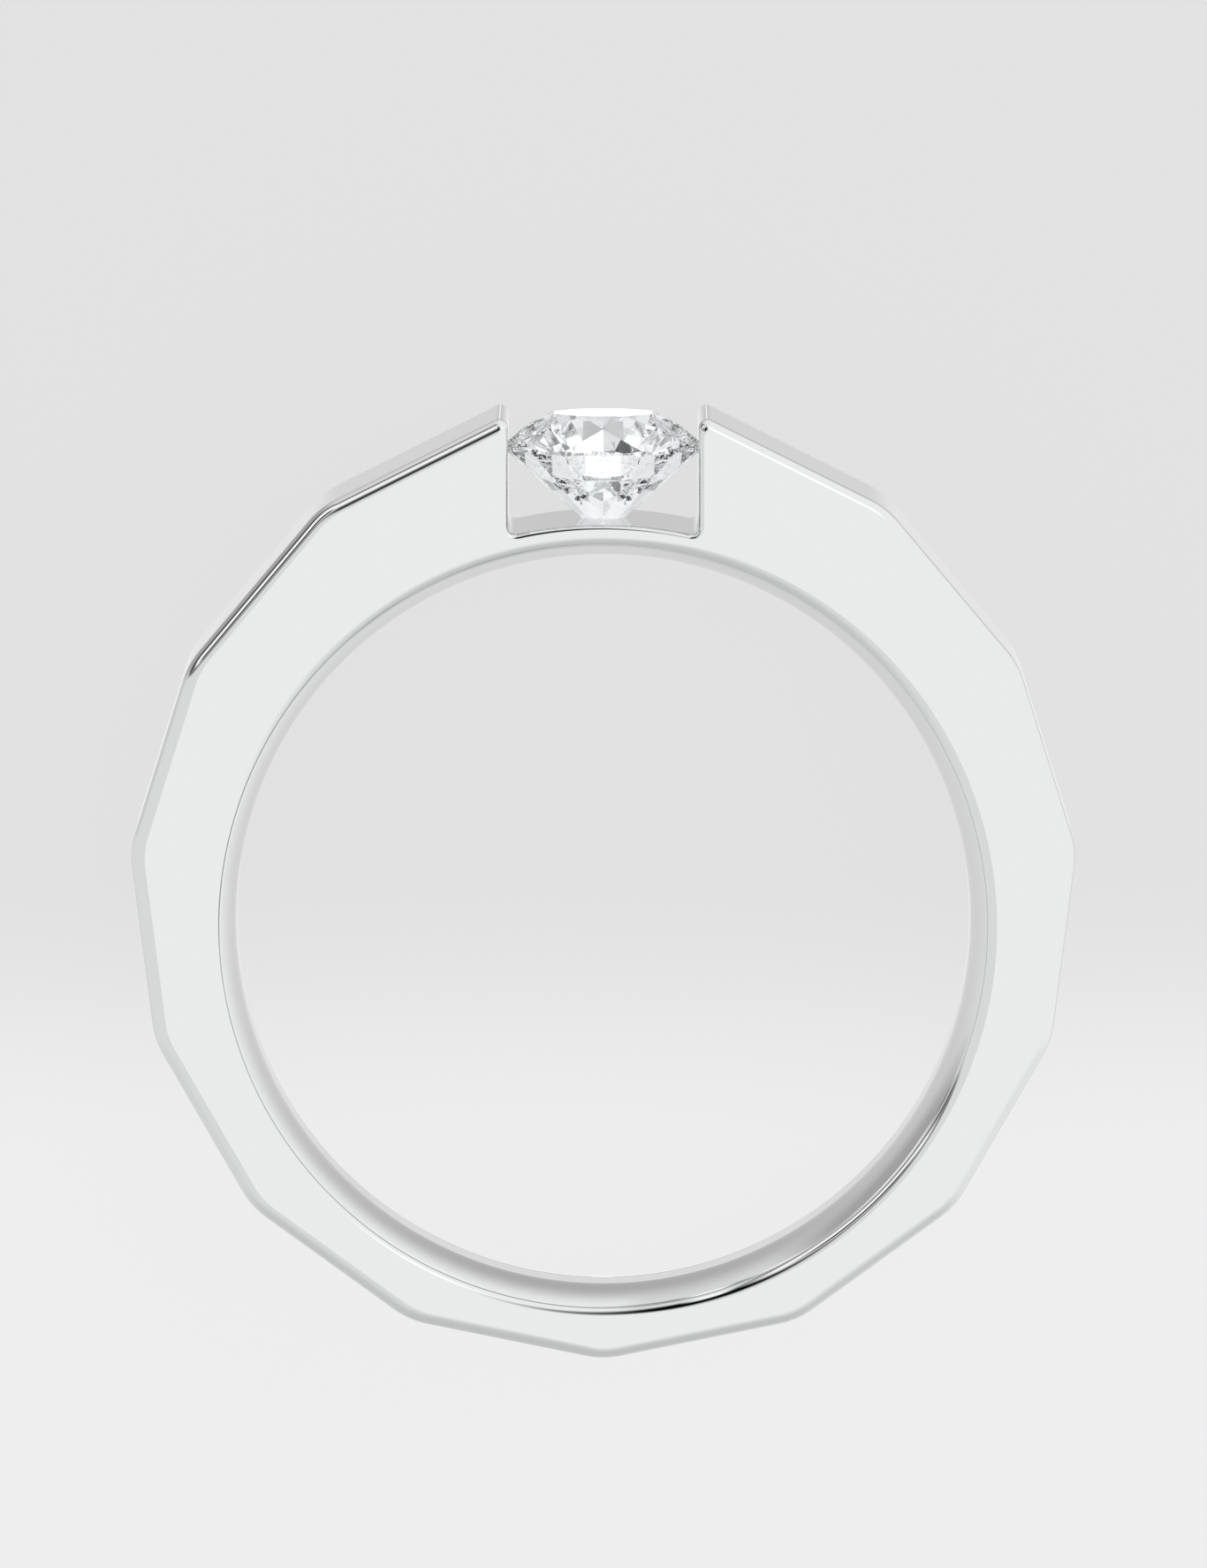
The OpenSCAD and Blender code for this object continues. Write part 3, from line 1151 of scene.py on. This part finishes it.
@dataclass(frozen=True)
class LitTable:
    """White acrylic lit from below, as small shiny things are shown on, a little lighter at the front.

    Most of its light comes through it, so what stands on it throws only a faint shadow.

    Attributes:
        far: its tone behind the ring.
        near: its tone in front of the ring.
        change: how far towards the stone's side the tone begins to change, and where it ends.
        returned: how light it is by the light that falls on it.
        half: half the length of its sides, in millimetres.
        cells: cells along each side.
    """

    far: Hex = "#dddddd"
    near: Hex = "#e9e9e9"
    change: tuple[float, float] = (1.0, -6.5)
    returned: Hex = "#3c3c3c"
    half: float = 1500.0
    cells: int = 8

    def material(self) -> bpy.types.Material:
        """Builds the acrylic.

        Returns:
            The material.
        """
        material, tree = new_material("lit_acrylic")
        place = add_node(tree, "TexCoord").outputs["Object"]
        share = result_of(
            tree,
            "MapRange",
            {
                "Value": add_node(tree, "SeparateXYZ", {"Vector": place}).outputs["Y"],
                "From Min": self.change[0] * METRES,
                "From Max": self.change[1] * METRES,
            },
            interpolation_type="SMOOTHSTEP",
        )
        tone = result_of(
            tree,
            "Mix",
            {"Factor": share, "A": linear(self.far), "B": linear(self.near)},
            data_type="RGBA",
        )
        glow = result_of(tree, "Emission", {"Color": tone})
        top = result_of(tree, "BsdfDiffuse", {"Color": linear(self.returned)})
        add_node(tree, "OutputMaterial", {"Surface": result_of(tree, "AddShader", {0: glow, 1: top})})
        material.cycles.emission_sampling = "NONE"
        return material

    def piece(self, ring_foot: float) -> bpy.types.Object:
        """Lays the table top under the ring.

        Mirrors and the stone don't show it: they show the lower half of the studio's light instead.

        Args:
            ring_foot: height of the ring's lowest point, in millimetres.

        Returns:
            The table top.
        """
        table = level_square("lit_table", self.half, self.cells, ring_foot)
        table.data.materials.append(self.material())
        table.visible_glossy = False
        table.visible_transmission = False
        return table


@dataclass(frozen=True)
class LightBox:
    """The light box far below the acrylic, which shows only through the stone.

    Attributes:
        depth: how far it lies below the ring, in millimetres.
        half: half the length of its sides.
        cells: cells along each side.
        spot_middle: how far its bright spot is from the middle, on the stone's side.
        spot: how far from its own middle the spot begins to fade, and where it ends.
        spot_power: brightness of the spot.
        dim: where the box begins to dim away from the stone's side, and where it is dimmest.
        even_power: brightness of the bright half.
        dim_power: brightness of the dim half.
    """

    depth: float = 300.0
    half: float = 3000.0
    cells: int = 2
    spot_middle: float = 26.0
    spot: tuple[float, float] = (32.0, 46.0)
    spot_power: float = 1.3
    dim: tuple[float, float] = (-12.0, -60.0)
    even_power: float = 1.02
    dim_power: float = 0.82

    def material(self) -> bpy.types.Material:
        """Builds the glowing sheet.

        Returns:
            The material.
        """
        material, tree = new_material("light_box")
        place = add_node(tree, "TexCoord").outputs["Object"]
        flat = result_of(tree, "VectorMath", {0: place, 1: (1.0, 1.0, 0.0)}, operation="MULTIPLY")
        spot_middle = (0.0, self.spot_middle * METRES, 0.0)
        changes = (
            (
                add_node(tree, "SeparateXYZ", {"Vector": place}).outputs["Y"],
                self.dim,
                self.dim_power,
            ),
            (
                result_of(tree, "VectorMath", {0: flat, 1: spot_middle}, operation="DISTANCE"),
                self.spot[::-1],
                self.spot_power,
            ),
        )
        power = self.even_power
        for value, ends, last in changes:
            power = result_of(
                tree,
                "MapRange",
                {
                    "Value": value,
                    "From Min": ends[0] * METRES,
                    "From Max": ends[1] * METRES,
                    "To Min": power,
                    "To Max": last,
                },
                interpolation_type="SMOOTHSTEP",
            )
        glow = result_of(tree, "Emission", {"Strength": power})
        add_node(tree, "OutputMaterial", {"Surface": glow})
        material.cycles.emission_sampling = "NONE"
        return material

    def piece(self, ring_foot: float) -> bpy.types.Object:
        """Lays the box out level under the ring, hidden from all but light that comes through the stone.

        Args:
            ring_foot: height of the ring's lowest point, in millimetres.

        Returns:
            The box.
        """
        box = level_square("light_box", self.half, self.cells, ring_foot - self.depth)
        box.data.materials.append(self.material())
        box.visible_camera = False
        box.visible_diffuse = False
        box.visible_glossy = False
        box.visible_shadow = False
        return box


@dataclass(frozen=True)
class Card:
    """A black flag, a white panel or a lamp of the studio, drawn as a rounded patch of the sky.

    Attributes:
        centre: where it stands, in degrees from +Y towards -X and in degrees from straight up.
        reach: how far it goes from there, in the same two ways.
        slant: how far it is turned on its centre, in degrees.
        squareness: power of its outline, 2 for an oval and more for squarer corners.
        fade: share of its reach, from the outline inwards, over which it fades in.
        tone: how it shows in the metal.
        power: how many times brighter than its tone it is, for a lamp.
    """

    centre: tuple[float, float]
    reach: tuple[float, float]
    slant: float
    squareness: float
    fade: float
    tone: Hex
    power: float = 1.0

    def light(self) -> tuple[float, float, float, float]:
        """Gives its tone in linear values, as bright as its power makes it."""
        red, green, blue, alpha = linear(self.tone)
        return red * self.power, green * self.power, blue * self.power, alpha

    def cover(
        self, tree: bpy.types.NodeTree, bearing: bpy.types.NodeSocket, tilt: bpy.types.NodeSocket
    ) -> bpy.types.NodeSocket:
        """Works out how fully the card covers each way.

        The way's bearing and tilt, taken from the card's centre, are turned by its slant and divided by
        its reach. The sum of their powers, to the inverse power, is 1 on the outline.

        Args:
            tree: the sky's nodes.
            bearing: the way's bearing in degrees.
            tilt: the way's tilt in degrees.

        Returns:
            The share, from 0 outside the card to 1 where it has faded in.
        """
        slant = math.radians(self.slant)
        across, down = (
            result_of(tree, "Math", {0: angle, 1: float(middle)}, operation="SUBTRACT")
            for angle, middle in zip((bearing, tilt), self.centre)
        )
        turns = ((math.cos(slant), -math.sin(slant)), (math.sin(slant), math.cos(slant)))
        powers = []
        for (along, aside), reach in zip(turns, self.reach):
            part = result_of(tree, "Math", {0: down, 1: aside}, operation="MULTIPLY")
            turned = result_of(tree, "Math", {0: across, 1: along, 2: part}, operation="MULTIPLY_ADD")
            share = result_of(tree, "Math", {0: turned, 1: float(reach)}, operation="DIVIDE")
            size = result_of(tree, "Math", {0: share}, operation="ABSOLUTE")
            powers.append(result_of(tree, "Math", {0: size, 1: self.squareness}, operation="POWER"))
        total = result_of(tree, "Math", dict(enumerate(powers)), operation="ADD")
        far = result_of(tree, "Math", {0: total, 1: 1 / self.squareness}, operation="POWER")
        fading = {"Value": far, "From Min": 1.0, "From Max": 1.0 - self.fade}
        return result_of(tree, "MapRange", fading, interpolation_type="SMOOTHSTEP")


@dataclass(frozen=True)
class Studio:
    """Table, light and camera.

    Attributes:
        cards: what stands round the ring, the later ones over the earlier.
        left: tone of the sky on the left.
        right: tone of the sky on the right.
        right_edge: where the right's tone takes over, along X.
        front: tone of the sky towards the front.
        front_edge: where the front's tone comes in, against Y.
        ground: tone straight down.
        ground_edge: where the ground's tone comes in, along Z.
        mirror_share: share of light that the metal keeps when it is seen from in front.
        top: the table top.
        under: the light box.
    """

    cards: tuple[Card, ...] = (
        # A grey card overhead with a black flag beside it, and two small white cards
        Card((0, 38), (28, 20), 0, 2.0, 0.95, "#6c6c6c"),
        Card((22, 43), (34, 28), 28, 2.2, 0.58, "#020203"),
        Card((-32, 53), (18, 14), 0, 2.5, 0.7, "#ffffff"),
        Card((18, 63), (6, 20), 0, 2.4, 0.8, "#fbfbfb"),
        # A white panel on the left in a grey frame, with a black strip across it and darker cards below
        Card((48, 70), (27, 40), 8, 2.4, 0.18, "#7a7a7a"),
        Card((45.5, 64.5), (22.5, 23.5), 10, 2.4, 0.3, "#f4f4f4"),
        Card((47.5, 55.5), (17.5, 8.5), 6, 4.0, 0.5, "#0c0c0c"),
        Card((58, 90), (21, 12), 4, 4.0, 0.6, "#343434"),
        Card((56, 122), (30, 32), 0, 3.0, 0.6, "#a0a0a0"),
        # A grey card low behind the ring, a lighter strip for the bore's land, and white straight down
        Card((0, 158), (110, 33), 0, 3.0, 0.9, "#adadad"),
        Card((0, 173), (100, 1.05), 0, 5.0, 0.45, "#d6d6d6"),
        Card((0, 180), (500, 3), 0, 4.0, 0.4, "#f6f6f6"),
        Card((0, 180), (5, 4.8), 0, 12.0, 0.02, "#ffffff"),
        # A small lamp and a small black flag behind the stone, for its sparkle
        Card((11, 95), (4, 3), 0, 2.0, 0.5, "#ffffff", 1.8),
        Card((-11, 95), (4, 3), 0, 2.0, 0.5, "#101012"),
    )
    left: Hex = "#d6d7d7"
    right: Hex = "#e9eaea"
    right_edge: tuple[float, float] = (-0.11, -0.03)
    front: Hex = "#bdbebe"
    front_edge: tuple[float, float] = (0.35, 1.0)
    ground: Hex = "#d3d3d3"
    ground_edge: tuple[float, float] = (-0.55, -0.95)
    mirror_share: float = 0.73
    top: LitTable = LitTable()
    under: LightBox = LightBox()

    def sky(self) -> None:
        """Lights the scene from all round.

        The sky is light on the right and a shade darker on the left and towards the front. Its lower half
        turns to the tone of the ground, because that is what shows in the metal in place of the table.
        The cards lie over it. Its tones are the ones that the metal shows from in front, so it is
        brighter than they are by the share of light that the metal keeps. A wall that is seen edge on
        keeps more and shows them lighter.
        """
        world = bpy.data.worlds.new("studio")
        world.use_nodes = True
        tree = world.node_tree
        tree.nodes.clear()
        way = add_node(tree, "TexCoord").outputs["Generated"]
        x, y, z = add_node(tree, "SeparateXYZ", {"Vector": way}).outputs
        left_way = result_of(tree, "Math", {0: x, 1: -1.0}, operation="MULTIPLY")
        front_way = result_of(tree, "Math", {0: y, 1: -1.0}, operation="MULTIPLY")
        around = result_of(tree, "Math", {0: left_way, 1: y}, operation="ARCTAN2")
        bearing = result_of(tree, "Math", {0: around}, operation="DEGREES")
        from_up = result_of(tree, "Math", {0: z}, operation="ARCCOSINE")
        tilt = result_of(tree, "Math", {0: from_up}, operation="DEGREES")
        broad = (
            (x, self.right_edge, self.right),
            (front_way, self.front_edge, self.front),
            (z, self.ground_edge, self.ground),
        )
        layers = []
        for value, (start, end), over in broad:
            rise = {"Value": value, "From Min": start, "From Max": end}
            share = result_of(tree, "MapRange", rise, interpolation_type="SMOOTHSTEP")
            layers.append((share, linear(over)))
        layers += [(card.cover(tree, bearing, tilt), card.light()) for card in self.cards]
        tone = linear(self.left)
        for share, over in layers:
            tone = result_of(tree, "Mix", {"Factor": share, "A": tone, "B": over}, data_type="RGBA")
        light = result_of(tree, "Background", {"Color": tone, "Strength": 1 / self.mirror_share})
        add_node(tree, "OutputWorld", {"Surface": light})
        # The sky is light nearly all over, so picking its bright places out only takes longer
        world.cycles.sampling_method = "NONE"
        bpy.context.scene.world = world

    def camera(self, half_width: float) -> None:
        """Sets up the camera as the photograph has it.

        It looks almost along the finger and leans a few degrees towards the stone.

        Args:
            half_width: height of the ring's upper side above the origin.
        """
        lean = math.radians(5.73)
        away = 500.0
        millimetre_px = 44.0
        frame_height = 1775.0
        bore_below_middle_px = 162.7
        bore_left_of_middle = 0.007
        sensor = 36.0
        nearest, furthest = 0.01, 10.0
        back = np.array([0.0, math.sin(lean), math.cos(lean)])
        up = np.array([0.0, math.cos(lean), -math.sin(lean)])
        right = np.array([1.0, 0.0, 0.0])
        rise = bore_below_middle_px / (millimetre_px * math.cos(lean))
        target = np.array([bore_left_of_middle, rise, half_width])
        data = bpy.data.cameras.new("camera")
        data.sensor_width = sensor
        data.lens = sensor * away * millimetre_px / frame_height
        data.clip_start = nearest
        data.clip_end = furthest
        camera = bpy.data.objects.new("camera", data)
        turn = np.eye(4)
        turn[:3, :3] = np.stack([right, up, back], axis=1)
        turn[:3, 3] = (target + away * back) * METRES
        camera.matrix_world = Matrix(turn.tolist())
        bpy.context.scene.collection.objects.link(camera)
        bpy.context.scene.camera = camera


def light_paths(bounces: int = 32, stone_bounces: int = 28) -> None:
    """Lets light bounce often enough inside the stone, and shows tones as they are.

    Args:
        bounces: how often light may bounce in all.
        stone_bounces: how often it may be mirrored, and how often it may pass through glass.
    """
    scene = bpy.context.scene
    scene.cycles.max_bounces = bounces
    scene.cycles.glossy_bounces = stone_bounces
    scene.cycles.transmission_bounces = stone_bounces
    scene.view_settings.view_transform = "Standard"


def dress(piece: bpy.types.Object, node: str, material: bpy.types.Material) -> None:
    """Makes a piece stand for a node of the model, with its material.

    Args:
        piece: the piece.
        node: the node that it replaces.
        material: the finish.
    """
    piece.data.materials.append(material)
    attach(piece, Body.RING.value)
    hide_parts(node)
    log.info("%s stands for %s, with %d faces", piece.name, node, len(piece.data.polygons))


def main() -> None:
    """Builds the ring, the stone and the studio in order."""
    logging.basicConfig(level=logging.INFO, format="%(name)s: %(message)s")
    mounts = {mount["name"]: mount for mount in frame["record"]["mounts"]}
    bore = mounts["finger_bore"]["dims"]
    low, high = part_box("ring_band")
    stone = Stone()
    band = Band(
        bore_radius=bore["r_mm"],
        half_width=(high[2] - low[2]) / METRES / 2,
        land=bore["length_mm"],
        stone=stone,
    )
    dress(band.piece(), "ring_band", PolishedWhiteGold().material())
    dress(stone.piece(band.girdle_height), "centre_stone", CutDiamond().material())
    studio = Studio()
    studio.sky()
    for level in (studio.top, studio.under):
        below = level.piece(low[2] / METRES)
        log.info("%s lies below the ring, with %d faces", below.name, len(below.data.polygons))
    studio.camera(band.half_width)
    light_paths()


if __name__ == "__main__":
    main()
